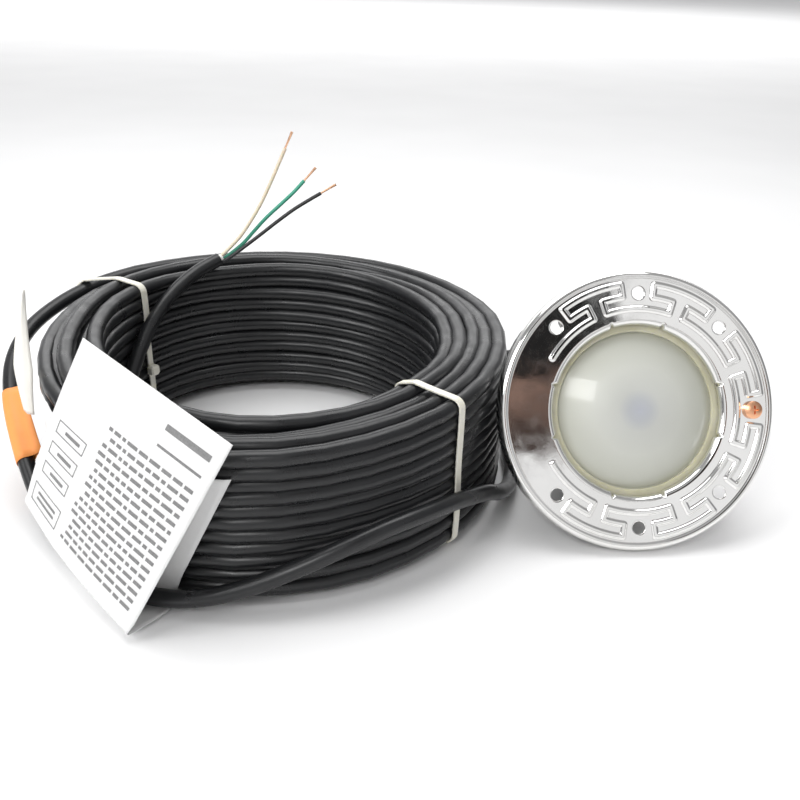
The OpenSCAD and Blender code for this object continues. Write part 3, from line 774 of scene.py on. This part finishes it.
def paper_tag():
    """The tag folded over the cord, and its print."""
    rows = [tag_section(i / 40) for i in range(41)]
    n = len(rows[0])
    verts = [p * MM for row in rows for p in row]
    faces = [(i * n + k, i * n + k + 1, (i + 1) * n + k + 1, (i + 1) * n + k)
             for i in range(40) for k in range(n - 1)]
    tag = make_mesh("folded_tag", verts, faces, MAT["paper"])
    thicken(tag, 0.25)
    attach(tag, "root")
    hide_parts("paper_tag")

    # grey bars and ruled boxes stand for the print
    verts, faces = [], []

    def surface(s, t):
        p = front_leaf(s, t)
        a, b = front_leaf(s + 0.01, t) - p, front_leaf(s, t + 0.01) - p
        return (p + a.cross(b).normalized() * -0.35) * MM

    def strip(s0, s1, t0, t1):
        count = max(1, int(abs(s1 - s0) * 40))
        base = len(verts)
        for k in range(count + 1):
            s = s0 + (s1 - s0) * k / count
            verts.extend((surface(s, t0), surface(s, t1)))
        faces.extend((base + 2 * k, base + 2 * k + 2, base + 2 * k + 3, base + 2 * k + 1)
                     for k in range(count))

    def box(s0, s1, t0, t1, w=0.005):
        strip(s0, s1, t0, t0 + w)
        strip(s0, s1, t1 - w, t1)
        strip(s0, s0 + w, t0, t1)
        strip(s1 - w, s1, t0, t1)

    rng = random.Random(5)
    for t, size in ((0.88, 0.030), (0.80, 0.012)):
        strip(0.06, 0.34, t, t + size)
    for row in range(16):
        t = 0.72 - row * 0.042
        s = 0.06
        while s < 0.60:
            word = rng.uniform(0.02, 0.07)
            strip(s, min(s + word, 0.62), t, t + 0.017)
            s += word + 0.014
    for k in range(3):
        box(0.70, 0.93, 0.52 - 0.12 * k, 0.59 - 0.12 * k)
        strip(0.74, 0.86, 0.545 - 0.12 * k, 0.562 - 0.12 * k)
    box(0.68, 0.95, 0.08, 0.20)
    for k in range(2):
        strip(0.72, 0.90, 0.115 + 0.035 * k, 0.13 + 0.035 * k)
    ink = make_mesh("tag_print", verts, faces, MAT["ink"])
    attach(ink, "root")


paper_tag()


def orange_label():
    """The orange label wrapped round the cord."""
    covered = [i for i, p in enumerate(lead) if i > 60 and abs((math.degrees(math.atan2(
        p.y - COIL_Y, p.x - COIL_X)) + 167 + 180) % 360 - 180) < 10]
    path = lead[covered[0]:covered[-1] + 1]
    frames = frames_along(path)
    verts, faces = [], []
    wrap_r = CORD_R + 0.45
    section = [polar(325 - 290 * k / 21, wrap_r).xy for k in range(22)]
    section = [(12.5, -0.15), (8.0, -0.9), *section, (8.0, 0.9), (12.5, 0.15)]
    n = len(section)
    for i, (p, (t, a, b)) in enumerate(zip(path, frames)):
        out = Vector((p.x - COIL_X, p.y - COIL_Y, 0)).normalized()
        side = (out - t * out.dot(t)).normalized()
        down = t.cross(side)
        tail_way = (down * 0.62 - side * 0.78).normalized()
        other = t.cross(tail_way)
        for u, w in section:
            verts.append((p + tail_way * u + other * w) * MM)
    for i in range(len(path) - 1):
        for k in range(n - 1):
            faces.append((i * n + k, i * n + k + 1, (i + 1) * n + k + 1, (i + 1) * n + k))
    label = make_mesh("orange_wrap", verts, faces, MAT["orange"])
    thicken(label, 0.2)
    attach(label, "root")
    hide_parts("cord_label")


orange_label()


def white_flag():
    """The pointed flag that stands up from the label."""
    out = polar(-107, 1)
    across = polar(-17, 1)
    verts, faces = [], []
    rows = 28
    for i in range(rows + 1):
        t = i / rows
        width = 7.6 * min(1.0, 0.62 + 1.1 * t) * min(1.0, (1.02 - t) / 0.62) + 0.1
        middle = round_coil(-162 + 3 * t, 145.5 - 8.0 * t * t, 60 + 79 * t)
        for k in range(7):
            u = (k - 3) / 3
            verts.append((middle + (across * 0.97 + out * 0.24) * (width * u)
                          + out * (1.8 * (1 - abs(u)) + 0.7 * math.sin(4 * t + u))) * MM)
    for i in range(rows):
        for k in range(6):
            faces.append((i * 7 + k, i * 7 + k + 1, (i + 1) * 7 + k + 1, (i + 1) * 7 + k))
    flag = make_mesh("white_flag", verts, faces, MAT["flag"])
    thicken(flag, 0.25)
    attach(flag, "root")
    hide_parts("label_flag")


white_flag()

# ---------------------------------------------------------------- floor, light and camera
def add_floor():
    """A wide pale floor, in metres."""
    verts = [(x, y, 0.0) for y in (-6.0, 14.0) for x in (-9.0, 9.0)]
    make_mesh("floor", verts, [(0, 1, 3, 2)], floor_material())


def add_cards():
    """Two cards behind the camera, seen only as reflections in the polished ring."""
    left, right, back = -0.06, 0.34, -0.955
    dark = Shader("dark card")
    dark.set(color=dark.ramp(dark.noise(9, 2), (0.3, 0.010), (0.7, 0.014)), rough=0.9, spec=0.0)
    brown = Shader("brown card")
    brown.set(color=brown.ramp(brown.noise(9, 3), (0.35, (0.05, 0.035, 0.03)),
                               (0.7, (0.30, 0.19, 0.15))), rough=0.9, spec=0.0)
    for name, mat, low, high, y in (("dark_card", dark.mat, 0.50, 0.93, back - 0.005),
                                    ("brown_card", brown.mat, 0.39, 0.55, back)):
        card = make_mesh(name, [(left, y, low), (right, y, low + 0.06), (right, y, high + 0.02),
                                (left, y, high)], [(0, 1, 2, 3)], mat)
        card.visible_camera = False


def floor_material():
    s = Shader("pale floor")
    s.set(color=s.ramp(s.noise(3, 2), (0.3, 0.84), (0.7, 0.87)), rough=0.6, spec=0.2)
    return s.mat


def area_light(name, at, look_at, size, power):
    data = bpy.data.lights.new(name, "AREA")
    data.shape = "RECTANGLE"
    data.size, data.size_y = size
    data.energy = power
    obj = bpy.data.objects.new(name, data)
    bpy.context.scene.collection.objects.link(obj)
    obj.location = at
    obj.rotation_euler = (Vector(look_at) - Vector(at)).to_track_quat("-Z", "Y").to_euler()


def add_world():
    """A soft studio surround, paler at mid height and darker to the left and right."""
    world = bpy.data.worlds.new("studio")
    bpy.context.scene.world = world
    world.use_nodes = True
    tree = world.node_tree
    background = tree.nodes["Background"]
    coord = tree.nodes.new("ShaderNodeTexCoord")
    split = tree.nodes.new("ShaderNodeSeparateXYZ")
    tree.links.new(coord.outputs["Generated"], split.inputs["Vector"])

    def greys(value, *stops):
        node = tree.nodes.new("ShaderNodeValToRGB")
        while len(node.color_ramp.elements) < len(stops):
            node.color_ramp.elements.new(0.5)
        for element, (at, grey, blue) in zip(node.color_ramp.elements, stops):
            element.position = at
            element.color = (grey, grey, blue, 1)
        tree.links.new(value, node.inputs["Fac"])
        return node.outputs["Color"]

    wide = tree.nodes.new("ShaderNodeMath")
    wide.operation = "ABSOLUTE"
    tree.links.new(split.outputs["X"], wide.inputs[0])
    height = [(at, grey, grey * 1.01) for at, grey in (
        (0.0, 0.95), (0.12, 0.60), (0.28, 0.95), (0.52, 1.0), (0.68, 0.55), (1.0, 0.30))]
    shade = tree.nodes.new("ShaderNodeMix")
    shade.data_type = "RGBA"
    shade.blend_type = "MULTIPLY"
    shade.inputs["Factor"].default_value = 1.0
    tree.links.new(greys(split.outputs["Z"], *height), shade.inputs["A"])
    tree.links.new(greys(wide.outputs["Value"], (0.45, 1, 1), (0.9, 0.32, 0.33)), shade.inputs["B"])
    tree.links.new(shade.outputs["Result"], background.inputs["Color"])
    background.inputs["Strength"].default_value = 0.95


def add_lights():
    area_light("overhead", (-0.15, 0.25, 1.5), (-0.12, 0, 0), (1.4, 1.0), 16)
    area_light("left softbox", (-1.4, -0.5, 0.9), (-0.1, 0, 0.05), (0.7, 0.9), 10)
    area_light("front softbox", (-0.75, -1.3, 1.25), (-0.1, -0.05, 0.06), (0.7, 0.5), 8)
    area_light("far floor", (0, 5.0, 2.6), (0, 5.2, 0), (7.0, 3.5), 170)


def add_camera():
    """The camera in front and to the left of the lamp, looking down on it."""
    pitch, turn, roll = math.radians(26.2), math.radians(5), math.radians(1.9)
    forward = Vector((math.sin(turn) * math.cos(pitch), math.cos(turn) * math.cos(pitch),
                      -math.sin(pitch)))
    right = forward.cross(Vector((0, 0, 1))).normalized()
    up = right.cross(forward)
    x = math.cos(roll) * right + math.sin(roll) * up
    y = math.cos(roll) * up - math.sin(roll) * right
    data = bpy.data.cameras.new("camera")
    data.sensor_width = 36
    data.lens = 40.5
    data.clip_start = 0.01
    camera = bpy.data.objects.new("camera", data)
    bpy.context.scene.collection.objects.link(camera)
    camera.matrix_world = Matrix((
        (x.x, y.x, -forward.x, -0.1802), (x.y, y.y, -forward.y, -0.5097),
        (x.z, y.z, -forward.z, 0.3119), (0, 0, 0, 1)))
    bpy.context.scene.camera = camera


add_floor()
add_cards()
add_world()
add_lights()
add_camera()
bpy.context.scene.view_settings.view_transform = "Standard"
